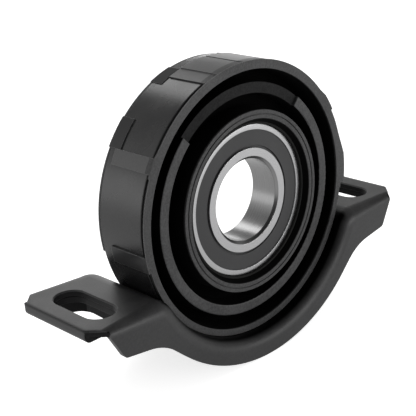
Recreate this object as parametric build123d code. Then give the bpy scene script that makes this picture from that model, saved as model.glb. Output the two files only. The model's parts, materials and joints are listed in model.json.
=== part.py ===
"""Driveshaft centre bearing: a sealed ball bearing held by a rubber mount in a pressed saddle bracket.

Millimetres. The Y axis is the shaft axis and the front faces -Y. +Z is up.
The origin is the centre of the ball bearing. Angles start at +X and turn towards +Z.
"""
import os
from math import cos, radians, sin, sqrt, tan

from build123d import *

# Ball bearing, a 30 x 55 x 13 deep groove size
BORE_DIAMETER = 30.0
BEARING_DIAMETER = 55.0
WIDTH_SHARE = 0.52
RACE_CHAMFER = 1.0
OUTER_FACE_WIDTH = 2.0
SEAL_SEAT_DEPTH = 2.1
BALL_COUNT = 11
BALL_SHARE = 0.5715
LAND_SHARE = 0.33
GROOVE_CONFORMITY = 0.52
BALL_CLEARANCE = 0.05

# Ribbon cage, two riveted halves
CAGE_SHEET = 0.5
CAGE_WIDTH = 2.4
POCKET_CLEARANCE = 0.09
RIVET_DIAMETER = 1.1
RIVET_HEAD_DIAMETER = 1.9
RIVET_HEAD_HEIGHT = 0.35

# Seals, rubber over a steel washer
SEAL_SETBACK = 0.35
SEAL_SKIN = 0.85
SEAL_STEP_WIDTH = 1.0
SEAL_STEP = 0.6
SEAL_LIP_CLEARANCE = 0.05
SEAL_BEAD = 0.4
INSERT_THICKNESS = 0.6
INSERT_MARGIN = 0.35

# Steel sleeve that the bearing is pressed into
SLEEVE_WALL = 1.4
SLEEVE_FRONT_LENGTH = 0.8
SLEEVE_SHOULDER = 2.9

# Rubber mount
LIP_REACH = 2.7
LIP_SETBACK = 2.3
LIP_WIDTH = 2.9
LIP_GROOVE_WIDTH = 0.5
HUB_DRAFT = 0.5
HUB_REAR_REACH = 2.8
WEB_THICKNESS = 3.4
WEB_INNER_DEPTH = 7.0
WEB_OUTER_DEPTH = 8.6
CREST_INNER_SHARE = 0.376
CREST_OUTER_SHARE = 0.652
CREST_HEIGHT = 0.6
CREST_DRAFT = 0.7
CREST_ROUND = 0.5
CREST_DROP = 1.3
CREST_DROP_HALF_ANGLE = 42.4
REAR_RIB_HEIGHT = 5.5
GROOVE_ROUND_SHARE = 0.092
RIM_WALL = 1.0
RIM_HEIGHT = 0.9
RIM_REACH = 1.6
RIM_EDGE = 0.25
RIM_BACK_SLOPE = 1.0
RIM_GROOVE_WIDTH = 2.4
RIM_GROOVE_DEPTH = 0.7
LINING_DRAFT = 0.5
FREE_END_ANGLE = 9.0
BOND_GAP = 0.05

# Steel band round the rubber
BAND_RADIUS = 49.1
BAND_WALL = 1.3
BAND_LENGTH = 21.1
BAND_EDGE_ROUND = 0.4
BAND_REAR_COVER = 0.7
BAND_REAR_DROP = 0.6

# Moulded pads on both sides of the band: start angle, end angle, height, length behind the rim
CROWN_PAD = (90.5, 103.6, 0.9, 17.9)
STRIP_PAD = (103.6, 110.0, 0.5, 17.9)
SIDE_PAD = (146.2, 152.5, 0.8, 19.9)
LOWER_PAD = (184.7, 191.5, 0.7, 17.9)

# Raised patches along the rear edge: start angle, end angle, height, length
TOP_PATCH = (103.6, 114.5, 0.3, 5.6)
FLANK_PATCH = (133.0, 146.2, 0.45, 6.0)

# Tabs that stand out from the rim: start angle, end angle, height, angle of the shoulder
SIDE_TAB = (26.0, 34.0, 1.6, 38.5)
CORNER_TAB = (-9.0, 4.0, 2.3, 14.0)

# Saddle bracket, one pressed sheet
SHEET = 2.2
SEAT_GAP = 0.2
EAR_TOP = -18.6
EAR_END = 77.2
SADDLE_CENTRE_Y = 8.45
SADDLE_DEPTH = 45.0
SADDLE_BEND = 8.0
FRONT_BEND = 5.0
REAR_BEND = 7.6
EAR_BEND = 2.4
FLANGE_RADIUS = 60.1
FLANGE_CENTRE_Z = 2.1
FLANGE_TANGENT_ANGLE = 43.0
FLANGE_NECK_X = 50.4
FLANGE_NECK_ROUND = 20.0
FLANGE_END_X = 72.0
FLANGE_TIP_X = 66.8
FLANGE_TIP_Z = -30.7
FLANGE_TIP_ROUND = 2.0
EAR_CHAMFER_SETBACK = 0.8
EAR_CORNER_ROUND = 2.5
EAR_REAR_X = 76.0
HEM_FRONT_SETBACK = 6.2
HEM_REAR_SETBACK = 6.4
HEM_GAP = 0.4
HEM_REACH = 22.6
HEM_ROUND = 2.1
SLOT_SPACING = 130.4
SLOT_WIDTH = 11.2
SLOT_FRONT_LAND = 1.75
SLOT_REAR_LAND = 3.85
SLOT_EDGE_BREAK = 0.4
HEM_SLOT_EASE = 0.4

# Worked out from the sizes above
BEARING_WIDTH = WIDTH_SHARE * (BEARING_DIAMETER - BORE_DIAMETER)
BORE_RADIUS = BORE_DIAMETER / 2
BEARING_RADIUS = BEARING_DIAMETER / 2
BEARING_FACE = BEARING_WIDTH / 2
BALL_RADIUS = BALL_SHARE * (BEARING_RADIUS - BORE_RADIUS) / 2
PITCH_RADIUS = (BORE_RADIUS + BEARING_RADIUS) / 2
GROOVE_RADIUS = 2 * GROOVE_CONFORMITY * BALL_RADIUS
GROOVE_SHIFT = GROOVE_RADIUS - BALL_RADIUS - BALL_CLEARANCE
INNER_LAND_RADIUS = PITCH_RADIUS - 2 * LAND_SHARE * BALL_RADIUS
OUTER_LAND_RADIUS = PITCH_RADIUS + 2 * LAND_SHARE * BALL_RADIUS
SEAL_SEAT_RADIUS = BEARING_RADIUS - OUTER_FACE_WIDTH
SEAL_STEP_RADIUS = INNER_LAND_RADIUS + SEAL_STEP_WIDTH
SLEEVE_RADIUS = BEARING_RADIUS + SLEEVE_WALL
SLEEVE_REAR = BEARING_FACE + SLEEVE_WALL
SLEEVE_FRONT = -BEARING_FACE - SLEEVE_FRONT_LENGTH
LIP_FRONT = -BEARING_FACE - LIP_REACH
LIP_INNER_RADIUS = BEARING_RADIUS + LIP_SETBACK
LIP_OUTER_RADIUS = LIP_INNER_RADIUS + LIP_WIDTH
HUB_REAR = BEARING_FACE + HUB_REAR_REACH
BAND_INNER = BAND_RADIUS - BAND_WALL
RIM_INNER_RADIUS = BAND_INNER - RIM_WALL
RIM_OUTER_RADIUS = BAND_RADIUS + RIM_HEIGHT
MOAT_WIDTH = RIM_INNER_RADIUS - LIP_OUTER_RADIUS
CREST_INNER_RADIUS = LIP_OUTER_RADIUS + CREST_INNER_SHARE * MOAT_WIDTH
CREST_OUTER_RADIUS = LIP_OUTER_RADIUS + CREST_OUTER_SHARE * MOAT_WIDTH
GROOVE_ROUND = GROOVE_ROUND_SHARE * MOAT_WIDTH
CREST_FRONT = -BEARING_FACE - CREST_HEIGHT
RIM_FRONT = -BEARING_FACE - RIM_REACH
RIM_REAR = RIM_FRONT + RIM_EDGE
BAND_FRONT = RIM_FRONT + RIM_GROOVE_WIDTH
BAND_REAR = BAND_FRONT + BAND_LENGTH
RING_REAR = BAND_REAR + BAND_REAR_COVER
WEB_INNER_FRONT = -BEARING_FACE + WEB_INNER_DEPTH
WEB_OUTER_FRONT = -BEARING_FACE + WEB_OUTER_DEPTH
TROUGH_RADIUS = BAND_RADIUS + SEAT_GAP
SADDLE_FRONT = SADDLE_CENTRE_Y - SADDLE_DEPTH / 2
SADDLE_REAR = SADDLE_CENTRE_Y + SADDLE_DEPTH / 2
HEM_FRONT = SADDLE_FRONT + HEM_FRONT_SETBACK
HEM_REAR = SADDLE_REAR - HEM_REAR_SETBACK
SLOT_LENGTH = HEM_REAR - HEM_FRONT - SLOT_FRONT_LAND - SLOT_REAR_LAND
SLOT_CENTRE_Y = HEM_FRONT + SLOT_FRONT_LAND + SLOT_LENGTH / 2
FAR = 200.0
PAST = 1.0
NEAR = 0.01


def turned(*corners):
    """A solid turned about the shaft axis from (radius, y) corners."""
    return revolve(make_face(Polyline(*corners, close=True)), Axis.Y)


def tube(inner, outer, y_from, y_to):
    """A plain ring between two radii and two places along the shaft."""
    return turned((inner, y_from), (outer, y_from), (outer, y_to), (inner, y_to))


def part_turned(angle_from, angle_to, *corners):
    """A piece turned between two angles from (radius, y) corners."""
    profile = make_face(Polyline(*corners, close=True))
    return Rot(Y=-angle_from) * revolve(profile, Axis.Y, angle_from - angle_to)


def sector(inner, outer, y_from, y_to, angle_from, angle_to):
    """A piece of a ring between two angles."""
    return part_turned(angle_from, angle_to, (inner, y_from), (outer, y_from), (outer, y_to), (inner, y_to))


def round_the_shaft(count):
    """Turns that space copies evenly, the first one at the top."""
    return [Rot(Y=-90 - 360 / count * step) for step in range(count)]


def both_sides(part):
    """A part and its mirror image across the plane x = 0."""
    return part + mirror(part, Plane.YZ)


def between(value, low, high):
    """True from low to high, with a little to spare for rounding."""
    return low - NEAR < value < high + NEAR


# Ball bearing
def inner_race():
    ring = turned(
        (BORE_RADIUS + RACE_CHAMFER, -BEARING_FACE),
        (INNER_LAND_RADIUS, -BEARING_FACE),
        (INNER_LAND_RADIUS, BEARING_FACE),
        (BORE_RADIUS + RACE_CHAMFER, BEARING_FACE),
        (BORE_RADIUS, BEARING_FACE - RACE_CHAMFER),
        (BORE_RADIUS, -BEARING_FACE + RACE_CHAMFER),
    )
    groove = Pos(PITCH_RADIUS + GROOVE_SHIFT, 0) * Circle(GROOVE_RADIUS)
    return ring - revolve(groove, Axis.Y)


def outer_race():
    seat_floor = BEARING_FACE - SEAL_SEAT_DEPTH
    ring = turned(
        (SEAL_SEAT_RADIUS, -BEARING_FACE),
        (BEARING_RADIUS - RACE_CHAMFER, -BEARING_FACE),
        (BEARING_RADIUS, -BEARING_FACE + RACE_CHAMFER),
        (BEARING_RADIUS, BEARING_FACE - RACE_CHAMFER),
        (BEARING_RADIUS - RACE_CHAMFER, BEARING_FACE),
        (SEAL_SEAT_RADIUS, BEARING_FACE),
        (SEAL_SEAT_RADIUS, seat_floor),
        (OUTER_LAND_RADIUS, seat_floor),
        (OUTER_LAND_RADIUS, -seat_floor),
        (SEAL_SEAT_RADIUS, -seat_floor),
    )
    groove = Pos(PITCH_RADIUS - GROOVE_SHIFT, 0) * Circle(GROOVE_RADIUS)
    bead_seat = tube(SEAL_SEAT_RADIUS - PAST, SEAL_SEAT_RADIUS + SEAL_BEAD, *bead_span())
    return ring - revolve(groove, Axis.Y) - bead_seat - mirror(bead_seat, Plane.XZ)


def bead_span():
    """Where the front seal's snap bead lies along the shaft."""
    front = -BEARING_FACE + SEAL_SETBACK + SEAL_SKIN / 2
    return front, front + SEAL_SKIN


def ball(turn):
    return turn * Pos(PITCH_RADIUS, 0, 0) * Sphere(BALL_RADIUS)


def cage_segment():
    """One ball's share of the front cage half: a flat plate with a cup, on the +X side."""
    inner = PITCH_RADIUS - CAGE_WIDTH / 2
    outer = PITCH_RADIUS + CAGE_WIDTH / 2
    pocket = BALL_RADIUS + POCKET_CLEARANCE
    cup = pocket + CAGE_SHEET
    half_pitch = 180 / BALL_COUNT
    centre = Pos(PITCH_RADIUS, 0, 0)
    plate = sector(inner, outer, -CAGE_SHEET, 0, -half_pitch, half_pitch)
    limits = sector(inner, outer, -cup, 0, -half_pitch, half_pitch)
    return plate + (limits & (centre * Sphere(cup))) - centre * Sphere(pocket)


def cage_half():
    """The front half of the ribbon cage, with a rivet hole between the cups."""
    segment = cage_segment()
    half = Part()
    for turn in round_the_shaft(BALL_COUNT):
        half += turn * segment
    for turn in round_the_shaft(BALL_COUNT):
        half -= between_balls(turn) * Cylinder(RIVET_DIAMETER / 2, 4 * CAGE_SHEET)
    return half


def between_balls(turn):
    """The place of a rivet, its axis along the shaft."""
    return Rot(Y=180 / BALL_COUNT) * turn * Pos(PITCH_RADIUS, 0, 0) * Rot(X=90)


def cage_rivets():
    shank = Cylinder(RIVET_DIAMETER / 2, 2 * CAGE_SHEET)
    head = Cylinder(RIVET_HEAD_DIAMETER / 2, RIVET_HEAD_HEIGHT)
    offset = CAGE_SHEET + RIVET_HEAD_HEIGHT / 2
    rivet = shank + Pos(0, 0, offset) * head + Pos(0, 0, -offset) * head
    return Compound(children=[between_balls(turn) * rivet for turn in round_the_shaft(BALL_COUNT)])


def insert_span():
    """Inner and outer radius of the washer inside a seal."""
    return SEAL_STEP_RADIUS + INSERT_MARGIN, SEAL_SEAT_RADIUS - INSERT_MARGIN


def front_seal():
    face = -BEARING_FACE + SEAL_SETBACK
    skin = face + SEAL_SKIN
    rear = skin + INSERT_THICKNESS
    insert_inner, insert_outer = insert_span()
    lip = INNER_LAND_RADIUS + SEAL_LIP_CLEARANCE
    seat = SEAL_SEAT_RADIUS - BOND_GAP
    bead_front, bead_rear = bead_span()
    return turned(
        (SEAL_STEP_RADIUS, face),
        (seat, face),
        (seat, bead_front + BOND_GAP),
        (seat + SEAL_BEAD, bead_front + BOND_GAP),
        (seat + SEAL_BEAD, bead_rear - BOND_GAP),
        (seat, bead_rear - BOND_GAP),
        (seat, rear),
        (insert_outer, rear),
        (insert_outer, skin),
        (insert_inner, skin),
        (insert_inner, rear),
        (lip, rear - SEAL_STEP / 2),
        (lip, face + SEAL_STEP),
        (SEAL_STEP_RADIUS, face + SEAL_STEP),
    )


def front_seal_insert():
    skin = -BEARING_FACE + SEAL_SETBACK + SEAL_SKIN
    insert_inner, insert_outer = insert_span()
    return tube(insert_inner, insert_outer, skin, skin + INSERT_THICKNESS)


def bearing_sleeve():
    """Cup with a shoulder behind the bearing."""
    shoulder = BEARING_RADIUS - SLEEVE_SHOULDER
    return turned(
        (BEARING_RADIUS, SLEEVE_FRONT),
        (SLEEVE_RADIUS, SLEEVE_FRONT),
        (SLEEVE_RADIUS, SLEEVE_REAR),
        (shoulder, SLEEVE_REAR),
        (shoulder, BEARING_FACE),
        (BEARING_RADIUS, BEARING_FACE),
    )


# Rubber mount
def rubber_section():
    """Half section of the moulding: hub, web, crest, rear rib and lining."""
    sleeve_wall_middle = SLEEVE_RADIUS - SLEEVE_WALL / 2
    hub_foot = LIP_OUTER_RADIUS + HUB_DRAFT
    lining_foot = RIM_INNER_RADIUS - LINING_DRAFT
    web_inner_rear = WEB_INNER_FRONT + WEB_THICKNESS
    web_outer_rear = WEB_OUTER_FRONT + WEB_THICKNESS
    crest_middle = (CREST_INNER_RADIUS + CREST_OUTER_RADIUS) / 2
    crest_foot = WEB_OUTER_FRONT + WEB_THICKNESS / 2
    hub = Polygon(
        (LIP_INNER_RADIUS, LIP_FRONT), (LIP_OUTER_RADIUS, LIP_FRONT), (hub_foot, WEB_INNER_FRONT),
        (hub_foot, web_inner_rear), (LIP_OUTER_RADIUS, HUB_REAR), (sleeve_wall_middle, HUB_REAR),
        (sleeve_wall_middle, SLEEVE_REAR), (SLEEVE_RADIUS, SLEEVE_REAR), (SLEEVE_RADIUS, SLEEVE_FRONT),
        (sleeve_wall_middle, SLEEVE_FRONT), align=None)
    web = Polygon(
        (hub_foot - PAST, WEB_INNER_FRONT), (crest_middle, WEB_INNER_FRONT), (crest_middle, WEB_OUTER_FRONT),
        (BAND_INNER, WEB_OUTER_FRONT), (BAND_INNER, web_outer_rear), (crest_middle, web_outer_rear),
        (crest_middle, web_inner_rear), (hub_foot - PAST, web_inner_rear), align=None)
    crest = Polygon(
        (CREST_INNER_RADIUS, CREST_FRONT), (CREST_OUTER_RADIUS, CREST_FRONT),
        (CREST_OUTER_RADIUS + CREST_DRAFT, crest_foot), (CREST_INNER_RADIUS - CREST_DRAFT, crest_foot),
        align=None)
    rib_half = (CREST_OUTER_RADIUS - CREST_INNER_RADIUS) / 2 - CREST_DRAFT
    rib_rear = web_outer_rear + REAR_RIB_HEIGHT
    rib_foot = rib_half + CREST_DRAFT
    rib = Polygon(
        (crest_middle - rib_foot, crest_foot), (crest_middle + rib_foot, crest_foot),
        (crest_middle + rib_half, rib_rear), (crest_middle - rib_half, rib_rear), align=None)
    lining = Polygon(
        (RIM_INNER_RADIUS, RIM_FRONT), (BAND_INNER, RIM_FRONT), (BAND_INNER, RING_REAR),
        (RIM_INNER_RADIUS, RING_REAR), (lining_foot, web_outer_rear), (lining_foot, WEB_OUTER_FRONT),
        align=None)
    section = hub + web + crest + rib + lining
    feet = section.vertices().filter_by(
        lambda v: between(v.X, hub_foot, lining_foot) and between(v.Y, WEB_INNER_FRONT, web_outer_rear))
    section = fillet(feet, GROOVE_ROUND)
    edges = section.vertices().filter_by(
        lambda v: v.Y < CREST_FRONT + NEAR and between(v.X, CREST_INNER_RADIUS, CREST_OUTER_RADIUS))
    return fillet(edges, CREST_ROUND)


def free_sector(outer, y_from, y_to):
    """Ring round the band's free part, above the saddle."""
    return sector(BAND_INNER, outer, y_from, y_to, -FREE_END_ANGLE, 180 + FREE_END_ANGLE)


def rim(radius):
    """Section of the front rim, a lip with a sloping back, out to a radius."""
    floor = BAND_RADIUS - RIM_GROOVE_DEPTH
    return (
        (RIM_INNER_RADIUS, RIM_FRONT), (radius, RIM_FRONT), (radius, RIM_REAR),
        (floor, RIM_REAR + RIM_BACK_SLOPE), (RIM_INNER_RADIUS, RIM_REAR + RIM_BACK_SLOPE))


def rim_tab(size):
    """A piece of the rim that stands out, falling off to the rim along a straight shoulder."""
    angle_from, angle_to, height, shoulder_end = size
    radius = BAND_RADIUS + height
    top, end = radians(angle_to), radians(shoulder_end)
    shoulder = Polygon(
        (BAND_RADIUS * cos(top), BAND_RADIUS * sin(top)),
        (radius * cos(top), radius * sin(top)),
        (RIM_OUTER_RADIUS * cos(end), RIM_OUTER_RADIUS * sin(end)),
        (BAND_RADIUS * cos(end), BAND_RADIUS * sin(end)), align=None)
    tab = sector(RIM_INNER_RADIUS, radius, RIM_FRONT, RIM_REAR, angle_from, angle_to)
    return tab + Pos(0, RIM_REAR, 0) * extrude(Plane.XZ * shoulder, RIM_EDGE)


def pad(size):
    """A moulded pad on both sides of the band, from the rim backwards."""
    angle_from, angle_to, height, length = size
    radius = BAND_RADIUS + height
    return both_sides(sector(BAND_INNER, radius, RIM_REAR, RIM_REAR + length, angle_from, angle_to))


def rear_patch(size):
    """A raised patch on both sides of the band, from its rear edge forwards."""
    angle_from, angle_to, height, length = size
    radius = BAND_RADIUS + height
    return both_sides(sector(BAND_INNER, radius, RING_REAR - length, RING_REAR, angle_from, angle_to))


def rubber_mount():
    body = revolve(rubber_section(), Axis.Y)
    body += turned(*rim(BAND_RADIUS))
    body += part_turned(-FREE_END_ANGLE, 180 + FREE_END_ANGLE, *rim(RIM_OUTER_RADIUS))
    body += tube(RIM_INNER_RADIUS, BAND_RADIUS - RIM_GROOVE_DEPTH, RIM_REAR, BAND_FRONT)
    body += tube(RIM_INNER_RADIUS, BAND_RADIUS - BAND_REAR_DROP, BAND_REAR, RING_REAR)
    body += free_sector(BAND_RADIUS, BAND_REAR, RING_REAR)
    for size in (CROWN_PAD, STRIP_PAD, SIDE_PAD, LOWER_PAD):
        body += pad(size)
    for size in (TOP_PATCH, FLANK_PATCH):
        body += rear_patch(size)
    body += both_sides(rim_tab(SIDE_TAB)) + rim_tab(CORNER_TAB)
    body -= tube(BAND_INNER, BAND_RADIUS, BAND_FRONT, BAND_REAR)
    body -= sector(
        CREST_INNER_RADIUS - 2 * CREST_DRAFT, CREST_OUTER_RADIUS + 2 * CREST_DRAFT, CREST_FRONT - PAST,
        CREST_FRONT + CREST_DROP, 90 - CREST_DROP_HALF_ANGLE, 90 + CREST_DROP_HALF_ANGLE)
    groove = (LIP_INNER_RADIUS + LIP_OUTER_RADIUS - LIP_GROOVE_WIDTH) / 2
    body -= tube(groove, groove + LIP_GROOVE_WIDTH, LIP_FRONT - PAST, LIP_FRONT + LIP_GROOVE_WIDTH)
    return body


def outer_ring():
    """The steel band, its outer edges rolled round."""
    wall = make_face(Polyline(
        (BAND_INNER, BAND_FRONT), (BAND_RADIUS, BAND_FRONT), (BAND_RADIUS, BAND_REAR),
        (BAND_INNER, BAND_REAR), close=True))
    outside = wall.vertices().filter_by(lambda v: between(v.X, BAND_RADIUS, BAND_RADIUS))
    return revolve(fillet(outside, BAND_EDGE_ROUND), Axis.Y)


# Saddle bracket
def pressing(inward):
    """The block under the sheet's top side, or under its lower side when moved inward by the sheet."""
    top, trough = EAR_TOP - inward, TROUGH_RADIUS + inward
    front, rear = SADDLE_FRONT + inward, SADDLE_REAR - inward
    corner_x = sqrt(trough ** 2 - top ** 2)
    trough_arc = ThreePointArc((corner_x, top), (0, -trough), (-corner_x, top))
    outline = Polyline((-corner_x, top), (-FAR, top), (-FAR, -FAR), (FAR, -FAR), (FAR, top), (corner_x, top))
    face = make_face([trough_arc, outline])
    corners = face.vertices().filter_by(lambda v: between(abs(v.X), corner_x, corner_x))
    face = fillet(corners, SADDLE_BEND - inward)
    block = Pos(0, front, 0) * extrude(Plane.XZ * face, front - rear)
    block = fillet(top_edges(block, front), FRONT_BEND - inward)
    block = fillet(top_edges(block, rear), REAR_BEND - inward)
    saddle = block & Box(2 * wing_start(), FAR, 2 * FAR)
    return saddle, wing(top, front, rear, inward)


def top_edges(block, y):
    """The long edges round the top of the block at one end."""
    flat = block.edges().filter_by(lambda e: all(between((e @ t).Y, y, y) for t in (0, 0.5, 1)))
    return flat.filter_by(lambda e: all((e @ t).Z > -FAR / 2 for t in (0, 0.5, 1)))


def wing_start():
    """Where the ear's flat begins, a little outside the bend into the trough."""
    return sqrt((TROUGH_RADIUS + SADDLE_BEND) ** 2 - (SADDLE_BEND - EAR_TOP) ** 2) + PAST


def wing(top, front, rear, inward):
    """The right ear's part of the block, its long bends tightening towards the end."""
    sections = []
    for x, front_bend, rear_bend in (
            (wing_start(), FRONT_BEND, REAR_BEND), (EAR_END + PAST, EAR_BEND, EAR_BEND)):
        face = Polygon((front, -FAR / 2), (rear, -FAR / 2), (rear, top), (front, top), align=None)
        face = fillet(face.vertices().sort_by_distance((front, top, 0))[0], front_bend - inward)
        face = fillet(face.vertices().sort_by_distance((rear, top, 0))[0], rear_bend - inward)
        sections.append(Plane.YZ.offset(x) * face)
    return loft(sections, ruled=True)


def flange_outline():
    """Right half of the sheet's outline seen from the front."""
    angle = radians(FLANGE_TANGENT_ANGLE)
    tangent = (FLANGE_RADIUS * sin(angle), FLANGE_CENTRE_Z - FLANGE_RADIUS * cos(angle))
    neck_z = tangent[1] + (FLANGE_NECK_X - tangent[0]) * tan(angle)
    bottom = (0, FLANGE_CENTRE_Z - FLANGE_RADIUS)
    middle = (FLANGE_RADIUS * sin(angle / 2), FLANGE_CENTRE_Z - FLANGE_RADIUS * cos(angle / 2))
    under_ear = EAR_TOP - SHEET - HEM_GAP / 2
    arc = ThreePointArc(bottom, middle, tangent)
    rest = Polyline(
        tangent, (FLANGE_NECK_X, neck_z), (FLANGE_TIP_X, FLANGE_TIP_Z), (FLANGE_END_X, under_ear),
        (EAR_END, under_ear), (EAR_END, 0), (0, 0), bottom)
    face = make_face([arc, rest])
    neck = face.vertices().sort_by_distance((FLANGE_NECK_X, neck_z, 0))[0]
    face = fillet(neck, FLANGE_NECK_ROUND)
    tip = face.vertices().sort_by_distance((FLANGE_TIP_X, FLANGE_TIP_Z, 0))[0]
    return fillet(tip, FLANGE_TIP_ROUND)


def ear_outline():
    """Right half of the sheet's outline seen from above."""
    front, rear = SADDLE_FRONT - PAST, SADDLE_REAR + PAST
    chamfer_front = SADDLE_FRONT + EAR_CHAMFER_SETBACK
    face = Polygon(
        (0, front), (FLANGE_END_X, front), (FLANGE_END_X, chamfer_front), (EAR_END, HEM_FRONT),
        (EAR_END, HEM_REAR), (EAR_REAR_X, HEM_REAR), (EAR_REAR_X - rear + HEM_REAR, rear), (0, rear),
        align=None)
    corners = face.vertices().filter_by(
        lambda v: between(v.X, FLANGE_END_X, EAR_END) and between(v.Y, chamfer_front, HEM_FRONT))
    return fillet(corners, EAR_CORNER_ROUND)


def hem():
    """The right ear's end, folded under and flattened."""
    height = 2 * SHEET + HEM_GAP
    fold = Pos(EAR_END - HEM_REACH / 2, EAR_TOP - height / 2) * Rectangle(HEM_REACH, height)
    outside = fold.vertices().filter_by(lambda v: between(v.X, EAR_END, EAR_END))
    fold = fillet(outside, HEM_ROUND)
    gap = Pos(EAR_END - SHEET - HEM_REACH / 2, EAR_TOP - height / 2) * Rectangle(HEM_REACH, HEM_GAP)
    solid = extrude(Plane.XZ * (fold - gap), HEM_REAR - HEM_FRONT)
    return Pos(0, HEM_REAR, 0) * solid


def slot():
    """The right ear's slot, long way along the shaft, its top edge broken and wider in the hem."""
    shape = slot_shape(0)
    place = Pos(SLOT_SPACING / 2, SLOT_CENTRE_Y, EAR_TOP)
    through = extrude(shape, amount=4 * SHEET, both=True)
    bevel = loft([Pos(0, 0, -SLOT_EDGE_BREAK) * shape, slot_shape(SLOT_EDGE_BREAK)])
    lower = Pos(0, 0, -SHEET - HEM_GAP / 2) * extrude(slot_shape(HEM_SLOT_EASE), -2 * SHEET)
    return place * (through + bevel + lower)


def slot_shape(wider):
    return Rot(Z=90) * SlotOverall(SLOT_LENGTH + 2 * wider, SLOT_WIDTH + 2 * wider)


def bracket():
    saddle, right_ear = pressing(0)
    saddle_hollow, ear_hollow = pressing(SHEET)
    sheet = (saddle - saddle_hollow) + both_sides(right_ear - ear_hollow)
    front_view = both_sides(extrude(Plane.XZ * flange_outline(), FAR, both=True))
    top_view = both_sides(extrude(ear_outline(), FAR, both=True))
    sheet = sheet & front_view & top_view
    return sheet + both_sides(hem()) - both_sides(slot())


def build():
    nodes = {
        "bracket": bracket(),
        "outer_ring": outer_ring(),
        "rubber_mount": rubber_mount(),
        "bearing_sleeve": bearing_sleeve(),
        "outer_race": outer_race(),
        "inner_race": inner_race(),
        "cage_front": cage_half(),
        "cage_rear": Rot(Z=180) * cage_half(),
        "cage_rivets": cage_rivets(),
        "front_seal": front_seal(),
        "rear_seal": mirror(front_seal(), Plane.XZ),
        "front_seal_insert": front_seal_insert(),
        "rear_seal_insert": mirror(front_seal_insert(), Plane.XZ),
    }
    for number, turn in enumerate(round_the_shaft(BALL_COUNT), start=1):
        nodes[f"ball_{number:02d}"] = ball(turn)
    return nodes


os.makedirs("parts", exist_ok=True)
for name, solid in build().items():
    export_step(solid, f"parts/{name}.step")
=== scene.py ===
"""Driveshaft centre bearing: finishes, floor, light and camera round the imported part.

Metres, unless a comment says mm. The Y axis is the shaft axis, the front faces -Y and +Z is up.
"""
import json
from math import cos, hypot, pi, radians, sin

import bpy
from mathutils import Matrix, Vector


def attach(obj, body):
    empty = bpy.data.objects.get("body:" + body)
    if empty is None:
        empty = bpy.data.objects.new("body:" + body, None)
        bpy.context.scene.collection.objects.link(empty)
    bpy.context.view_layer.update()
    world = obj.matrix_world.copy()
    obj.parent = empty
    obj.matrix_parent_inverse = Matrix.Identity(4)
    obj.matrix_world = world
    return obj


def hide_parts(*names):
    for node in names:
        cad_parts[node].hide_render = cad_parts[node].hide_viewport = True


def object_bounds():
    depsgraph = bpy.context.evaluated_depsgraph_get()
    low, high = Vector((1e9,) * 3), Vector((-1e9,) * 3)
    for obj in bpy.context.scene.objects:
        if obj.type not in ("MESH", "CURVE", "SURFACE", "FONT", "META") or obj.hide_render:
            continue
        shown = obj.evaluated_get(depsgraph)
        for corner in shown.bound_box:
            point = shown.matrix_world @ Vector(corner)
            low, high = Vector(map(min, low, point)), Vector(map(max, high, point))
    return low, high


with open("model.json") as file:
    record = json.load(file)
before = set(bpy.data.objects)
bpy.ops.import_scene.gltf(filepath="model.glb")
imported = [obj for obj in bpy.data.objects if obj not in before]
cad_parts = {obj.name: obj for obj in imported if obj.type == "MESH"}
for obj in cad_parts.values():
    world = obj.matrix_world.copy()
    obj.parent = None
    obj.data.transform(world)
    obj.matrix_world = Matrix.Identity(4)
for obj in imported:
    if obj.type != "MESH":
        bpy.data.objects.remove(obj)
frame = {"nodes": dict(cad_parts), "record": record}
cad_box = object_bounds()

MM = 0.001

# Camera, as the photograph was taken. Lens and sensor in mm.
VIEW_AIM = Vector((-10.9, 2.8, -1.4)) * MM
VIEW_AZIMUTH = radians(-42.54)
VIEW_ELEVATION = radians(21.40)
VIEW_ROLL = radians(-4.63)
VIEW_DISTANCE = 372.3 * MM
VIEW_NEAREST = 1 * MM
LENS = 91.45
SENSOR = 36.0

# Floor
FLOOR_GAP = 0.1 * MM
FLOOR_SIZE = 6.0
FLOOR_COLOUR = (0.8, 0.8, 0.8, 1.0)
FLOOR_GLOW = 0.75
FLOOR_SHINE = 0.40

# Room: plain white where the camera looks straight at it. In reflections it darkens towards the
# ceiling (+Z), the right-hand wall (+X) and the front (-Y), from a start to an end of a ray's direction.
ROOM_LIGHT = 0.55
ROOM_COLOUR = (1.0, 1.0, 1.0, 1.0)
CEILING_START = 0.34
CEILING_END = 0.66
CEILING_LIGHT = 0.35
WALL_START = 0.10
WALL_END = 0.55
WALL_LIGHT = 0.62
FRONT_START = -0.20
FRONT_END = -0.55
FRONT_LIGHT = 0.08

# Lamps: place, aim, width, height and power in watts
LAMPS = {
    "rear_box": ((0.145, 0.475, 0.49), (0, 0, 0), 0.20, 0.25, 0.42),
    "front_box": ((0.24, -0.54, 0.09), (0, 0, 0), 0.50, 0.12, 1.4),
    "left_box": ((-0.56, 0.50, 0.09), (0, 0, 0), 0.26, 0.26, 0.22),
    "side_box": ((0.72, 0.76, 0.16), (0, 0, 0), 0.50, 0.22, 0.6),
    "ear_card": ((0.0107, 0.0893, 0.0252), (-0.065, 0.007, -0.0186), 0.08, 0.08, 0.022),
}

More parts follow.
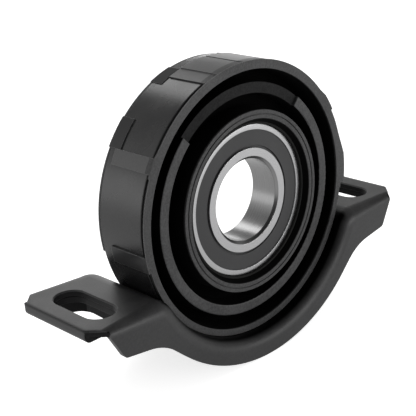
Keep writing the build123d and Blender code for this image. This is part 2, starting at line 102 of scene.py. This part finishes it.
# Rings round the shaft axis that a finish marks out: inner radius, outer radius, and where along
# the shaft the mark begins and is full, in mm. The recesses end at the web's middle, the trough at
# its own end, and the others at the far rear.
FAR_FRONT = -100.0
FAR_REAR = 100.0
SHARP = 0.01
# Painted shade: the mount's recesses and the crest's lowered face are coloured near black
RUBBER_RECESSES = (
    (27.4, 29.92, -9.15, -8.9),
    (32.6, 38.1, -9.0, -8.2),
    (37.9, 42.0, -7.0, -5.1),
    (41.85, 46.95, -7.9, -7.1),
)
WEB_MIDDLE = 3.0
# Painted highlight: edges on the band's rubber skin are coloured paler, where they catch the light
BAND_SKIN = (49.05, 50.2, -8.2, -8.1)
# Painted light: these pads are coloured paler, standing in for the light that falls on them
PALE_PADS = ((49.86, 50.1, -5.0, -4.9), (49.59, 49.65, -5.0, -4.9))
SMOOTH_PATCHES = ((49.5, 49.58, 9.0, 9.1), (49.76, 49.84, -5.0, -4.9))
DULL_PATCH = (49.15, 49.45, 9.0, 9.1)
# Painted shade: the bracket's trough in front of the rim is coloured near black
TROUGH = (0.0, 51.9, -12.6, -10.9)
TROUGH_END = -5.0
TROUGH_SOFT = 1.2
# Painted shade: the bearing's bore is coloured darker
BORE = (0.0, 15.9, FAR_FRONT, FAR_FRONT + 1)

# Boxes on both sides of the bracket that its finish marks out with painted shade: middle and half size, in
# mm
SLOTS = ((65.2, 7.3, -24.0), (6.3, 14.3, 4.9))
HEM_ENDS = ((74.45, -10.75, -22.4), (2.95, 3.05, 3.1))
UNDER_EARS = ((58.75, 8.45, -37.0), (9.25, 20.4, 11.0))
EAR_CHAMFERS = ((76.9, 8.45, -19.06), (0.75, 24.0, 0.44))
OPENING_SHADE = 0.75
CHAMFER_SHADE = 0.30

# Fold at each ear's end
FOLD_START = 72.0 * MM
FOLD_END = 74.8 * MM
FOLD_ROUND = 1.7 * MM

# What every finish shares
DUST_COLOUR = (0.16, 0.155, 0.15, 1.0)
DUST_THIN = 0.35
DUST_THICK = 0.75
NOISE_LOW = 0.34
NOISE_HIGH = 0.66

# Dipped coat of the bracket and the band
COAT_GRAIN = 1400.0
COAT_DRIFT = 45.0
COAT_EDGE_CONTRAST = 8.0
COAT_DUST = 0.10
COAT_MOTTLE = (0.022, 0.022, 0.0225, 1.0)
# Painted shade: near black and metallic, so the bracket's hollows show no sheen
COAT_PAINTED_SHADE = (0.002, 0.002, 0.002, 1.0)
COAT_SMOOTHER = 0.03
COAT_ROUGHER = 0.05
COAT_PEEL_HEIGHT = 0.05 * MM

# Rubber of the mount and the seals
RUBBER_DRIFT = 60.0
RUBBER_EDGE_CONTRAST = 4.0
RUBBER_DUST = 0.08
RUBBER_SMOOTHER = 0.06
RUBBER_ROUGHER = 0.08
RUBBER_GRAIN_DEPTH = 0.25
RUBBER_GRAIN_HEIGHT = 0.04 * MM
RUBBER_SHEEN = 0.3
CLOUDY_BLOOM = 0.25
GRAINY_BLOOM = 0.5
# Painted highlight: rubber edges are coloured paler, where they catch the light
RUBBER_EDGE_HIGHLIGHT = (0.12, 0.12, 0.12, 1.0)
RUBBER_EDGE_SHARE = 0.6
SKIN_EDGE_HIGHLIGHT = (0.30, 0.30, 0.30, 1.0)
SKIN_EDGE_SHARE = 0.4
# Painted shade in the mount's recesses: near black, mostly metallic so they show little sheen
RECESS_SHADE_COLOUR = (0.0015, 0.0015, 0.0015, 1.0)
RECESS_METALLIC = 0.8
RECESS_ROUGHNESS = 0.95
# Painted light on the pale pads
PAD_PAINTED_LIGHT = (0.13, 0.13, 0.13, 1.0)
PAD_SHARE = 0.6
PAD_ROUGHNESS = 0.36
PATCH_COLOUR = (0.026, 0.026, 0.0265, 1.0)
SMOOTH_ROUGHNESS = 0.28
DULL_ROUGHNESS = 0.65

# Bare steel of the bearing
STEEL_EDGE_RADIUS = 0.25 * MM
STEEL_EDGE_CONTRAST = 3.0
MARK_COLOUR = (0.16, 0.16, 0.16, 1.0)
MARK_SHARE = 0.35
MARK_HEIGHT = 0.01 * MM
MARK_LEAN = 1.37

# Dark film on the sleeve
SLEEVE_RINGS = 2500.0
SLEEVE_DRIFT = 120.0
SLEEVE_THIN_FILM = (0.004, 0.004, 0.004, 1.0)
SLEEVE_THICK_FILM = (0.012, 0.012, 0.011, 1.0)
SLEEVE_LEAST_ROUGH = 0.75
SLEEVE_MOST_ROUGH = 0.9
SLEEVE_SHEEN = 0.2

# Outer race
RACE_RADIUS = 27.5 * MM
RACE_WIDTH = 13.0 * MM
RACE_FACE = 2.1 * MM
RACE_SEAT_DEPTH = 2.1 * MM
RACE_LAND_RADIUS = 23.4 * MM
RACE_CORNER = 0.3 * MM
RACE_CORNER_STEPS = 3
RACE_SIDES = 192
RACE_SMOOTH_ANGLE = radians(30)
END_FACING = 0.9
HAIR = 0.01 * MM

# Sockets of a Mix node, which have the same name for each kind of value
MIX_VALUES = (2, 3)
MIX_COLOURS = (6, 7)
MIXED_VALUE = 0
MIXED_COLOUR = 2
FLOAT = "NodeSocketFloat"
VECTOR = "NodeSocketVector"


# Node helpers
def new_tree(name):
    material = bpy.data.materials.new(name)
    material.use_nodes = True
    material.node_tree.nodes.clear()
    return material, material.node_tree


def set_inputs(tree, node, inputs):
    """A node's inputs set to values or joined to sockets."""
    for name, value in inputs.items():
        if isinstance(value, bpy.types.NodeSocket):
            tree.links.new(value, node.inputs[name])
        else:
            node.inputs[name].default_value = value


def add(tree, kind, inputs=None, **settings):
    """A node of a kind, with its settings, and its inputs set or joined."""
    node = tree.nodes.new(kind)
    for name, value in settings.items():
        setattr(node, name, value)
    set_inputs(tree, node, inputs or {})
    return node


def maths(tree, operation, *values, clamp=False):
    inputs = dict(enumerate(values))
    return add(tree, "ShaderNodeMath", inputs, operation=operation, use_clamp=clamp).outputs[0]


def vector_maths(tree, operation, *values):
    return add(tree, "ShaderNodeVectorMath", dict(enumerate(values)), operation=operation).outputs[0]


def blend_value(tree, share, first, second):
    inputs = {"Factor": share, MIX_VALUES[0]: first, MIX_VALUES[1]: second}
    return add(tree, "ShaderNodeMix", inputs).outputs[MIXED_VALUE]


def blend_colour(tree, share, first, second):
    inputs = {"Factor": share, MIX_COLOURS[0]: first, MIX_COLOURS[1]: second}
    return add(tree, "ShaderNodeMix", inputs, data_type="RGBA").outputs[MIXED_COLOUR]


def spread(tree, value, start=0.0, end=1.0, low=0.0, high=1.0):
    """A value that runs from start to end made to run from low to high, and kept between them."""
    return add(tree, "ShaderNodeMapRange", {0: value, 1: start, 2: end, 3: low, 4: high}).outputs[0]


def stretched(tree, noise):
    """A noise, which keeps near its middle, spread over the whole of 0 to 1."""
    return spread(tree, noise, NOISE_LOW, NOISE_HIGH)


def split_vector(tree, vector):
    return add(tree, "ShaderNodeSeparateXYZ", {"Vector": vector}).outputs


def widest(tree, masks):
    """Where any of some masks is."""
    wide = masks[0]
    for mask in masks[1:]:
        wide = maths(tree, "MAXIMUM", wide, mask)
    return wide


def new_group(name, inputs, outputs):
    """An empty effect with named inputs and outputs."""
    group = bpy.data.node_groups.new(name, "ShaderNodeTree")
    for label, (kind, value) in inputs.items():
        socket = group.interface.new_socket(label, in_out="INPUT", socket_type=kind)
        if value is not None:
            socket.default_value = value
    for label, kind in outputs.items():
        group.interface.new_socket(label, in_out="OUTPUT", socket_type=kind)
    return group, add(group, "NodeGroupInput").outputs, add(group, "NodeGroupOutput").inputs


def place_group(tree, group, **inputs):
    """An effect placed in a material, its inputs set by their names."""
    return add(tree, "ShaderNodeGroup", inputs, node_tree=group).outputs


# Effects that several finishes share
def shaft_radius(group, split):
    """How far a place is from the shaft axis."""
    flat = add(group, "ShaderNodeCombineXYZ", {"X": split["X"], "Y": split["Z"]}).outputs[0]
    return add(group, "ShaderNodeVectorMath", {0: flat}, operation="LENGTH").outputs["Value"]


def place_in_mm(group, place):
    return add(group, "ShaderNodeVectorMath", {0: place, "Scale": 1 / MM}, operation="SCALE").outputs[0]


def make_turning_marks():
    """Fine rings round the shaft axis, as turning and grinding leave."""
    group, given, result = new_group(
        "turning marks",
        {"Place": (VECTOR, None), "Rings": (FLOAT, 4000.0), "Drift": (FLOAT, 60.0)},
        {"Lines": FLOAT, "Patches": FLOAT})
    split = split_vector(group, given["Place"])
    along = maths(group, "ADD", shaft_radius(group, split), maths(group, "MULTIPLY", split["Y"], MARK_LEAN))
    count = maths(group, "MULTIPLY", along, given["Rings"])
    lines = add(group, "ShaderNodeTexNoise", {
        "W": count, "Scale": 1.0, "Detail": 3.0}, noise_dimensions="1D")
    patches = add(group, "ShaderNodeTexNoise", {
        "Vector": given["Place"], "Scale": given["Drift"], "Detail": 2.0})
    group.links.new(lines.outputs[0], result["Lines"])
    group.links.new(patches.outputs[0], result["Patches"])
    return group


def make_grain():
    """Fine even grain with a slow change over it."""
    group, given, result = new_group(
        "grain",
        {"Place": (VECTOR, None), "Grain": (FLOAT, 2500.0), "Drift": (FLOAT, 70.0)},
        {"Grain": FLOAT, "Drift": FLOAT})
    fine = add(group, "ShaderNodeTexNoise", {
        "Vector": given["Place"], "Scale": given["Grain"], "Detail": 3.0})
    slow = add(group, "ShaderNodeTexNoise", {
        "Vector": given["Place"], "Scale": given["Drift"], "Detail": 4.0})
    group.links.new(fine.outputs[0], result["Grain"])
    group.links.new(slow.outputs[0], result["Drift"])
    return group


def make_edges():
    """Softened edges: the normal across them, and how much of an edge each place is."""
    group, given, result = new_group(
        "edges",
        {"Radius": (FLOAT, 0.4 * MM), "Contrast": (FLOAT, 4.0)},
        {"Normal": VECTOR, "Edge": FLOAT})
    soft = add(group, "ShaderNodeBevel", {"Radius": given["Radius"]}, samples=6)
    face = add(group, "ShaderNodeNewGeometry").outputs["True Normal"]
    alike = add(group, "ShaderNodeVectorMath", {0: soft.outputs[0], 1: face}, operation="DOT_PRODUCT")
    edge = maths(group, "SUBTRACT", 1.0, alike.outputs["Value"])
    edge = maths(group, "MULTIPLY", edge, given["Contrast"], clamp=True)
    group.links.new(soft.outputs[0], result["Normal"])
    group.links.new(edge, result["Edge"])
    return group


def make_dust():
    """A thin film of dust on what faces up."""
    group, given, result = new_group(
        "dust",
        {"Place": (VECTOR, None), "Amount": (FLOAT, 0.2)},
        {"Mask": FLOAT})
    facing = split_vector(group, add(group, "ShaderNodeNewGeometry").outputs["Normal"])
    upward = maths(group, "MAXIMUM", facing["Z"], 0.0)
    cloud = add(group, "ShaderNodeTexNoise", {"Vector": given["Place"], "Scale": 120.0, "Detail": 6.0})
    settled = spread(group, cloud.outputs[0], DUST_THIN, DUST_THICK)
    mask = maths(group, "MULTIPLY", upward, settled)
    group.links.new(maths(group, "MULTIPLY", mask, given["Amount"], clamp=True), result["Mask"])
    return group


def make_ring_mask():
    """A ring round the shaft axis, rising to 1 along the shaft, and 0 past its end. Sizes in mm."""
    group, given, result = new_group(
        "ring mask",
        {"Place": (VECTOR, None), "Inner": (FLOAT, 0.0), "Outer": (FLOAT, 1.0),
         "Begins": (FLOAT, 0.0), "Full": (FLOAT, 1.0), "End": (FLOAT, 2.0), "Soft": (FLOAT, SHARP)},
        {"Mask": FLOAT})
    split = split_vector(group, place_in_mm(group, given["Place"]))
    radius = shaft_radius(group, split)
    short = maths(group, "SUBTRACT", given["Outer"], radius)
    short = maths(group, "DIVIDE", short, given["Soft"], clamp=True)
    inside = maths(group, "MULTIPLY", maths(group, "GREATER_THAN", radius, given["Inner"]), short)
    inside = maths(group, "MULTIPLY", inside, maths(group, "LESS_THAN", split["Y"], given["End"]))
    depth = spread(group, split["Y"], given["Begins"], given["Full"])
    group.links.new(maths(group, "MULTIPLY", inside, depth), result["Mask"])
    return group


def make_box_mask():
    """1 in a pair of boxes, one on each side of the YZ plane. Middle and half size in mm."""
    group, given, result = new_group(
        "box mask",
        {"Place": (VECTOR, None), "Middle": (VECTOR, None), "Half": (VECTOR, None)},
        {"Mask": FLOAT})
    split = split_vector(group, place_in_mm(group, given["Place"]))
    across = maths(group, "ABSOLUTE", split["X"])
    place = add(group, "ShaderNodeCombineXYZ", {"X": across, "Y": split["Y"], "Z": split["Z"]}).outputs[0]
    away = vector_maths(group, "ABSOLUTE", vector_maths(group, "SUBTRACT", place, given["Middle"]))
    inside = split_vector(group, vector_maths(group, "SUBTRACT", given["Half"], away))
    least = maths(group, "MINIMUM", maths(group, "MINIMUM", inside["X"], inside["Y"]), inside["Z"])
    group.links.new(maths(group, "GREATER_THAN", least, 0.0), result["Mask"])
    return group


TURNING_MARKS = make_turning_marks()
RING_MASK = make_ring_mask()
BOX_MASK = make_box_mask()
GRAIN = make_grain()
EDGES = make_edges()
DUST = make_dust()


def finish_surface(tree, surface):
    output = add(tree, "ShaderNodeOutputMaterial")
    tree.links.new(surface.outputs[0], output.inputs["Surface"])


def object_place(tree):
    return add(tree, "ShaderNodeTexCoord").outputs["Object"]


def ring_mask(tree, place, ring, end=FAR_REAR, soft=SHARP):
    inner, outer, begins, full = ring
    return place_group(
        tree, RING_MASK, Place=place, Inner=inner, Outer=outer, Begins=begins, Full=full,
        End=end, Soft=soft)["Mask"]


def box_mask(tree, place, box):
    middle, half = box
    return place_group(tree, BOX_MASK, Place=place, Middle=middle, Half=half)["Mask"]


def bump(tree, strength, height, pattern, normal):
    """A pattern that stands up from a surface by a height, over the surface's own normal."""
    inputs = {"Strength": strength, "Distance": height, "Height": pattern, "Normal": normal}
    return add(tree, "ShaderNodeBump", inputs).outputs[0]


# Finishes
def bracket_painted_shade(tree, place):
    """Painted shade in the trough, the openings' walls, the space under the ears and, faintly, the ears'
    chamfers.
    """
    trough = ring_mask(tree, place, TROUGH, TROUGH_END, TROUGH_SOFT)
    openings = widest(tree, [box_mask(tree, place, box) for box in (SLOTS, HEM_ENDS, UNDER_EARS)])
    chamfers = box_mask(tree, place, EAR_CHAMFERS)
    return widest(tree, [
        trough,
        maths(tree, "MULTIPLY", openings, OPENING_SHADE),
        maths(tree, "MULTIPLY", chamfers, CHAMFER_SHADE)])


def bracket_fold(tree, place):
    """0 on the sheet, rising to 1 at the ears' folded ends."""
    across = maths(tree, "ABSOLUTE", split_vector(tree, place)["X"])
    return spread(tree, across, FOLD_START, FOLD_END)


def coated_steel(name, colour, edge_colour, roughness, sheen, orange_peel, edge_radius, folded=False):
    """Black dipped coat, faintly uneven; its edges are paler, partly worn thin and partly painted
    highlight, and the bracket's hollows are painted shade, near black.
    """
    material, tree = new_tree(name)
    place = object_place(tree)
    grain = place_group(tree, GRAIN, Place=place, Grain=COAT_GRAIN, Drift=COAT_DRIFT)
    if folded:
        fold = bracket_fold(tree, place)
        edge_radius = spread(tree, fold, low=edge_radius, high=FOLD_ROUND)
    edges = place_group(tree, EDGES, Radius=edge_radius, Contrast=COAT_EDGE_CONTRAST)
    dust = place_group(tree, DUST, Place=place, Amount=COAT_DUST)
    # Edges paler: partly worn thin coat, partly painted highlight where edges catch the light
    worn_and_highlit = maths(tree, "MULTIPLY", edges["Edge"], grain["Drift"])
    if folded:
        worn_and_highlit = maths(tree, "MULTIPLY", worn_and_highlit, maths(tree, "SUBTRACT", 1.0, fold))
    cloud = stretched(tree, grain["Drift"])
    mottled = maths(tree, "ADD", maths(tree, "MULTIPLY", cloud, 0.5),
                    maths(tree, "MULTIPLY", stretched(tree, grain["Grain"]), 0.5))
    base = blend_colour(tree, mottled, colour, COAT_MOTTLE)
    base = blend_colour(tree, worn_and_highlit, base, edge_colour)
    base = blend_colour(tree, dust["Mask"], base, DUST_COLOUR)
    # Painted shade: the bracket's hollows are coloured near black and made metallic to lose their sheen
    painted_shade = 0.0
    if folded:
        painted_shade = bracket_painted_shade(tree, place)
        base = blend_colour(tree, painted_shade, base, COAT_PAINTED_SHADE)
    surface = add(tree, "ShaderNodeBsdfPrincipled", {
        "Base Color": base,
        "Metallic": painted_shade,
        "Roughness": spread(tree, cloud, low=roughness - COAT_SMOOTHER, high=roughness + COAT_ROUGHER),
        "Normal": bump(tree, orange_peel, COAT_PEEL_HEIGHT, grain["Grain"], edges["Normal"]),
        "Specular IOR Level": sheen})
    finish_surface(tree, surface)
    return material


def moulded_rubber(name, colour, bloom, roughness, grain_size, edge_radius, mount=False):
    """Black rubber with the mould's fine grain and a grey bloom, its edges painted paler as highlight; the
    mount has painted shade in its recesses and painted light on its pale pads.
    """
    material, tree = new_tree(name)
    place = object_place(tree)
    grain = place_group(tree, GRAIN, Place=place, Grain=grain_size, Drift=RUBBER_DRIFT)
    edges = place_group(tree, EDGES, Radius=edge_radius, Contrast=RUBBER_EDGE_CONTRAST)
    dust = place_group(tree, DUST, Place=place, Amount=RUBBER_DUST)
    greyed = maths(tree, "ADD", maths(tree, "MULTIPLY", stretched(tree, grain["Drift"]), CLOUDY_BLOOM),
                   maths(tree, "MULTIPLY", stretched(tree, grain["Grain"]), GRAINY_BLOOM))
    base = blend_colour(tree, greyed, colour, bloom)
    # Painted highlight: edges coloured paler, more so on the band's skin
    edge_share = RUBBER_EDGE_SHARE
    edge_colour = RUBBER_EDGE_HIGHLIGHT
    if mount:
        skin = ring_mask(tree, place, BAND_SKIN)
        edge_share = maths(tree, "ADD", edge_share, maths(tree, "MULTIPLY", skin, SKIN_EDGE_SHARE))
        edge_colour = blend_colour(tree, skin, edge_colour, SKIN_EDGE_HIGHLIGHT)
    base = blend_colour(tree, maths(tree, "MULTIPLY", edges["Edge"], edge_share), base, edge_colour)
    base = blend_colour(tree, dust["Mask"], base, DUST_COLOUR)
    rough = spread(
        tree, grain["Grain"], low=roughness - RUBBER_SMOOTHER, high=roughness + RUBBER_ROUGHER)
    metallic = 0.0
    if mount:
        # Painted shade in the recesses, painted light on the pale pads
        recess_shade = widest(tree, [ring_mask(tree, place, ring, WEB_MIDDLE) for ring in RUBBER_RECESSES])
        smooth = widest(tree, [ring_mask(tree, place, ring) for ring in SMOOTH_PATCHES])
        pale_pad_light = widest(tree, [ring_mask(tree, place, ring) for ring in PALE_PADS])
        dull = ring_mask(tree, place, DULL_PATCH)
        off_edge = maths(tree, "SUBTRACT", 1.0, edges["Edge"])
        patch = maths(tree, "MULTIPLY", widest(tree, [smooth, dull]), off_edge)
        base = blend_colour(tree, recess_shade, base, RECESS_SHADE_COLOUR)
        base = blend_colour(tree, maths(tree, "MULTIPLY", pale_pad_light, PAD_SHARE), base, PAD_PAINTED_LIGHT)
        base = blend_colour(tree, patch, base, PATCH_COLOUR)
        rough = blend_value(tree, recess_shade, rough, RECESS_ROUGHNESS)
        rough = blend_value(tree, smooth, rough, SMOOTH_ROUGHNESS)
        rough = blend_value(tree, dull, rough, DULL_ROUGHNESS)
        rough = blend_value(tree, pale_pad_light, rough, PAD_ROUGHNESS)
        metallic = maths(tree, "MULTIPLY", recess_shade, RECESS_METALLIC)
    surface = add(tree, "ShaderNodeBsdfPrincipled", {
        "Base Color": base,
        "Metallic": metallic,
        "Roughness": rough,
        "Normal": bump(tree, RUBBER_GRAIN_DEPTH, RUBBER_GRAIN_HEIGHT, grain["Grain"], edges["Normal"]),
        "Specular IOR Level": RUBBER_SHEEN})
    finish_surface(tree, surface)
    return material


def bare_steel(name, colour, least_rough, most_rough, rings, mark_depth, bore_shade_colour=None):
    """Steel with turning or grinding marks round the shaft axis, and painted shade that may darken the
    bore.
    """
    material, tree = new_tree(name)
    place = object_place(tree)
    marks = place_group(tree, TURNING_MARKS, Place=place, Rings=rings)
    edges = place_group(tree, EDGES, Radius=STEEL_EDGE_RADIUS, Contrast=STEEL_EDGE_CONTRAST)
    base = colour
    # Painted shade: the bore is coloured darker
    if bore_shade_colour:
        base = blend_colour(tree, ring_mask(tree, place, BORE), colour, bore_shade_colour)
    base = blend_colour(tree, maths(tree, "MULTIPLY", marks["Lines"], MARK_SHARE), base, MARK_COLOUR)
    surface = add(tree, "ShaderNodeBsdfPrincipled", {
        "Base Color": base,
        "Metallic": 1.0,
        "Roughness": spread(tree, marks["Lines"], low=least_rough, high=most_rough),
        "Normal": bump(tree, mark_depth, MARK_HEIGHT, marks["Lines"], edges["Normal"])})
    finish_surface(tree, surface)
    return material


def dark_sleeve(name):
    """Drawn steel under a thin dark film of bonding agent."""
    material, tree = new_tree(name)
    place = object_place(tree)
    marks = place_group(tree, TURNING_MARKS, Place=place, Rings=SLEEVE_RINGS, Drift=SLEEVE_DRIFT)
    edges = place_group(tree, EDGES, Radius=STEEL_EDGE_RADIUS, Contrast=STEEL_EDGE_CONTRAST)
    surface = add(tree, "ShaderNodeBsdfPrincipled", {
        "Base Color": blend_colour(tree, marks["Patches"], SLEEVE_THIN_FILM, SLEEVE_THICK_FILM),
        "Roughness": spread(tree, marks["Lines"], low=SLEEVE_LEAST_ROUGH, high=SLEEVE_MOST_ROUGH),
        "Normal": edges["Normal"],
        "Specular IOR Level": SLEEVE_SHEEN})
    finish_surface(tree, surface)
    return material


FINISHES = {
    "bracket_coat": coated_steel(
        "bracket_coat", colour=(0.006, 0.006, 0.0065, 1.0), edge_colour=(0.12, 0.12, 0.12, 1.0),
        roughness=0.46, sheen=0.49, orange_peel=0.30, edge_radius=0.25 * MM, folded=True),
    "ring_coat": coated_steel(
        "ring_coat", colour=(0.008, 0.008, 0.0085, 1.0), edge_colour=(0.06, 0.06, 0.06, 1.0),
        roughness=0.26, sheen=0.50, orange_peel=0.12, edge_radius=0.3 * MM),
    "mount_rubber": moulded_rubber(
        "mount_rubber", colour=(0.018, 0.018, 0.0185, 1.0), bloom=(0.080, 0.080, 0.081, 1.0),
        roughness=0.46, grain_size=1500.0, edge_radius=0.25 * MM, mount=True),
    "seal_rubber": moulded_rubber(
        "seal_rubber", colour=(0.030, 0.030, 0.031, 1.0), bloom=(0.050, 0.050, 0.051, 1.0),
        roughness=0.42, grain_size=3600.0, edge_radius=0.2 * MM),
    "race_steel": bare_steel(
        "race_steel", colour=(0.46, 0.46, 0.465, 1.0), least_rough=0.20, most_rough=0.36,
        rings=5200.0, mark_depth=0.5, bore_shade_colour=(0.25, 0.25, 0.25, 1.0)),
    "ball_steel": bare_steel(
        "ball_steel", colour=(0.72, 0.72, 0.73, 1.0), least_rough=0.05, most_rough=0.12,
        rings=800.0, mark_depth=0.05),
    "cage_steel": bare_steel(
        "cage_steel", colour=(0.55, 0.54, 0.53, 1.0), least_rough=0.30, most_rough=0.45,
        rings=1800.0, mark_depth=0.3),
    "insert_steel": bare_steel(
        "insert_steel", colour=(0.50, 0.50, 0.50, 1.0), least_rough=0.35, most_rough=0.50,
        rings=2200.0, mark_depth=0.3),
    "sleeve_steel": dark_sleeve("sleeve_steel"),
}


# Outer race
def faces_where(mesh, test):
    """Only the faces whose normal passes a test are selected."""
    bpy.ops.mesh.select_all(action="DESELECT")
    bpy.ops.object.mode_set(mode="OBJECT")
    for face in mesh.polygons:
        face.select = test(face.normal)
    bpy.ops.object.mode_set(mode="EDIT")


def edges_where(mesh, test):
    """Only the edges whose two ends pass a test are selected."""
    bpy.ops.mesh.select_mode(type="EDGE")
    bpy.ops.mesh.select_all(action="DESELECT")
    bpy.ops.object.mode_set(mode="OBJECT")
    for edge in mesh.edges:
        edge.select = all(test(mesh.vertices[index].co) for index in edge.vertices)
    bpy.ops.object.mode_set(mode="EDIT")


def make_outer_race():
    """A cylinder, its ends inset and sunk for the seals, bridged through, its corners rounded."""
    bpy.ops.object.select_all(action="DESELECT")
    bpy.ops.mesh.primitive_cylinder_add(
        vertices=RACE_SIDES, radius=RACE_RADIUS, depth=RACE_WIDTH, rotation=(pi / 2, 0, 0))
    race = bpy.context.active_object
    race.name = "outer_race_ring"
    bpy.ops.object.transform_apply(location=True, rotation=True, scale=True)
    mesh = race.data
    bpy.ops.object.mode_set(mode="EDIT")
    bpy.ops.mesh.select_mode(type="FACE")
    faces_where(mesh, lambda normal: abs(normal.y) > END_FACING)
    bpy.ops.mesh.inset(thickness=RACE_FACE)
    bpy.ops.mesh.extrude_region_shrink_fatten(TRANSFORM_OT_shrink_fatten={"value": -RACE_SEAT_DEPTH})
    bpy.ops.mesh.inset(thickness=RACE_RADIUS - RACE_FACE - RACE_LAND_RADIUS)
    bpy.ops.mesh.delete(type="FACE")
    edges_where(mesh, lambda point: hypot(point.x, point.z) < RACE_LAND_RADIUS + RACE_CORNER / 2)
    bpy.ops.mesh.bridge_edge_loops()
    edges_where(mesh, lambda point: abs(point.y) > RACE_WIDTH / 2 - HAIR
                and hypot(point.x, point.z) > RACE_RADIUS - RACE_CORNER / 2)
    bpy.ops.mesh.bevel(offset=RACE_CORNER, segments=RACE_CORNER_STEPS)
    bpy.ops.mesh.select_all(action="SELECT")
    bpy.ops.mesh.normals_make_consistent(inside=False)
    bpy.ops.object.mode_set(mode="OBJECT")
    bpy.ops.object.shade_smooth_by_angle(angle=RACE_SMOOTH_ANGLE)
    mesh.materials.append(FINISHES["race_steel"])
    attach(race, "housing")
    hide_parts("outer_race")


def dress_nodes():
    """Every node takes the finish of its material slot."""
    for part in frame["record"]["subparts"]:
        node = frame["nodes"][part["node"]]
        for slot in node.material_slots:
            slot.material = FINISHES[part["material_slot"]]


# Floor, light and camera
def seen_straight(tree):
    """1 for the camera's own rays."""
    return add(tree, "ShaderNodeLightPath").outputs["Is Camera Ray"]


def shows_background(tree):
    """1 for rays that see the background as such: straight, mirrored or through glass."""
    path = add(tree, "ShaderNodeLightPath").outputs
    seen = maths(tree, "MAXIMUM", path["Is Camera Ray"], path["Is Glossy Ray"])
    return maths(tree, "MAXIMUM", seen, path["Is Transmission Ray"])


def make_world():
    world = bpy.data.worlds.new("room")
    bpy.context.scene.world = world
    world.use_nodes = True
    tree = world.node_tree
    tree.nodes.clear()
    towards = split_vector(tree, add(tree, "ShaderNodeTexCoord").outputs["Generated"])
    ceiling = spread(tree, towards["Z"], CEILING_START, CEILING_END, 1.0, CEILING_LIGHT)
    wall = spread(tree, towards["X"], WALL_START, WALL_END, 1.0, WALL_LIGHT)
    front = spread(tree, towards["Y"], FRONT_END, FRONT_START, FRONT_LIGHT, 1.0)
    room = maths(tree, "MULTIPLY", maths(tree, "MULTIPLY", ceiling, wall), front)
    white = maths(tree, "MAXIMUM", seen_straight(tree), room)
    strength = spread(tree, shows_background(tree), low=ROOM_LIGHT, high=white)
    backdrop = add(tree, "ShaderNodeBackground", {"Color": ROOM_COLOUR, "Strength": strength})
    output = add(tree, "ShaderNodeOutputWorld")
    tree.links.new(backdrop.outputs[0], output.inputs["Surface"])


def make_floor():
    bpy.ops.object.select_all(action="DESELECT")
    bpy.ops.mesh.primitive_plane_add(size=FLOOR_SIZE, location=(0, 0, cad_box[0].z - FLOOR_GAP))
    floor = bpy.context.active_object
    floor.name = "floor"
    material, tree = new_tree("floor_paper")
    paper = add(tree, "ShaderNodeBsdfDiffuse", {"Color": FLOOR_COLOUR})
    glow = spread(tree, seen_straight(tree), low=FLOOR_SHINE, high=FLOOR_GLOW)
    strength = maths(tree, "MULTIPLY", shows_background(tree), glow)
    shine = add(tree, "ShaderNodeEmission", {"Color": ROOM_COLOUR, "Strength": strength})
    both = add(tree, "ShaderNodeAddShader", {0: paper.outputs[0], 1: shine.outputs[0]})
    finish_surface(tree, both)
    floor.data.materials.append(material)


def make_lights():
    for name, (place, aim, width, height, power) in LAMPS.items():
        lamp = bpy.data.lights.new(name, "AREA")
        lamp.shape = "RECTANGLE"
        lamp.size = width
        lamp.size_y = height
        lamp.energy = power
        holder = bpy.data.objects.new(name, lamp)
        holder.location = place
        holder.rotation_euler = (Vector(aim) - Vector(place)).to_track_quat("-Z", "Y").to_euler()
        holder.visible_camera = False
        bpy.context.scene.collection.objects.link(holder)


def make_camera():
    across = Vector((cos(VIEW_AZIMUTH), sin(VIEW_AZIMUTH), 0))
    back = Vector((
        sin(VIEW_AZIMUTH) * cos(VIEW_ELEVATION),
        -cos(VIEW_AZIMUTH) * cos(VIEW_ELEVATION),
        sin(VIEW_ELEVATION)))
    right = Matrix.Rotation(VIEW_ROLL, 3, back) @ across
    up = back.cross(right)
    lens = bpy.data.cameras.new("camera")
    lens.sensor_width = SENSOR
    lens.lens = LENS
    lens.clip_start = VIEW_NEAREST
    camera = bpy.data.objects.new("camera", lens)
    pose = Matrix((right, up, back)).transposed().to_4x4()
    pose.translation = VIEW_AIM + VIEW_DISTANCE * back
    camera.matrix_world = pose
    bpy.context.scene.collection.objects.link(camera)
    bpy.context.scene.camera = camera


dress_nodes()
make_outer_race()
make_world()
make_floor()
make_lights()
make_camera()
bpy.context.scene.view_settings.view_transform = "Standard"
